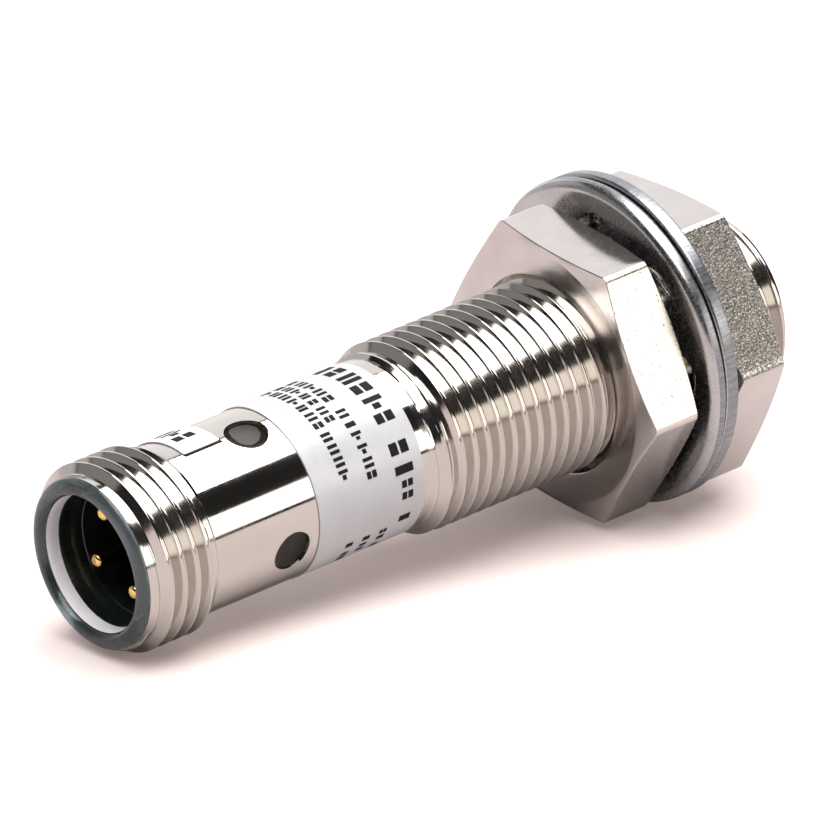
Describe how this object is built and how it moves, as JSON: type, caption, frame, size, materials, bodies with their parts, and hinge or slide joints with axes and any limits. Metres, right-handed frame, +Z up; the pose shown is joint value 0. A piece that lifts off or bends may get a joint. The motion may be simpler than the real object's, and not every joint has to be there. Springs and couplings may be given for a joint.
{
  "type": "inductive proximity sensor",
  "caption": "Threaded barrel proximity sensor with flat sensing face, built-in four-pin round plug, light windows, two hex lock nuts and two lock washers.",
  "frame": {"origin": "centre of the flat sensing face at the front of the barrel", "axes": "+X along the barrel and out of the sensing face, +Z up as the sensor lies on a bench"},
  "size_m": [0.0499, 0.0205, 0.0205],
  "materials": {
    "nickel_body": "bright nickel plate on brass, fine turning lines",
    "nickel_nut": "nickel plate on brass, turned faces and milled flats",
    "steel_washer": "zinc-coloured spring steel, tumbled",
    "smoky_plastic": "smoky clear plastic, glossy",
    "gold": "gold plate, smooth",
    "cap_plastic": "dark moulded plastic, fine matt",
    "rubber_seal": "smooth rubber",
    "led_lens": "clear lens",
    "board": "green solder mask",
    "chip": "moulded epoxy",
    "ceramic": "fired ceramic",
    "resin": "cured resin",
    "holder_plastic": "natural moulded plastic",
    "ferrite": "sintered ferrite",
    "copper": "copper, enamelled",
    "label_film": "silver polyester film",
    "paper": "white film"
  },
  "bodies": {
    "sensor": {"barrel": "nickel_body", "sensing_cap": "cap_plastic", "plug_insert": "smoky_plastic", "insert_seal": "rubber_seal", "contact_pin_1": "gold", "contact_pin_2": "gold", "contact_pin_3": "gold", "contact_pin_4": "gold", "window_1": "smoky_plastic", "window_2": "smoky_plastic", "window_3": "smoky_plastic", "window_4": "smoky_plastic", "status_led_1": "led_lens", "status_led_2": "led_lens", "status_led_3": "led_lens", "status_led_4": "led_lens", "led_board": "board", "circuit_board": "board", "oscillator_chip": "chip", "output_transistor": "chip", "surge_diode": "chip", "board_capacitors": "ceramic", "board_resistors": "chip", "potting_plug": "resin", "core_holder": "holder_plastic", "ferrite_core": "ferrite", "shield_ring": "copper", "coil_bobbin": "holder_plastic", "coil_winding": "copper", "coil_leads": "copper", "type_label": "label_film", "date_label": "paper"},
    "rear_washer": {"rear_washer": "steel_washer"},
    "rear_nut": {"rear_nut": "nickel_nut"},
    "front_washer": {"front_washer": "steel_washer"},
    "front_nut": {"front_nut": "nickel_nut"}
  },
  "joints": [
    {"name": "rear_travel", "type": "slide", "parent": "sensor", "child": "rear_washer", "axis": [1, 0, 0], "range_m": [-0.01201, 0]},
    {"name": "rear_nut_turn", "type": "hinge", "parent": "rear_washer", "child": "rear_nut", "pos_m": [-0.01247, 0, 0], "axis": [1, 0, 0], "range_deg": [-4320, 0]},
    {"name": "front_travel", "type": "slide", "parent": "sensor", "child": "front_washer", "axis": [1, 0, 0], "range_m": [0, 0.00301]},
    {"name": "front_nut_turn", "type": "hinge", "parent": "front_washer", "child": "front_nut", "pos_m": [-0.0056, 0, 0], "axis": [1, 0, 0], "range_deg": [0, 1080]}
  ],
  "couplings": [
    {"joint": "rear_travel", "follows": "rear_nut_turn", "m_per_rad": 0.00015915},
    {"joint": "front_travel", "follows": "front_nut_turn", "m_per_rad": 0.00015915}
  ]
}
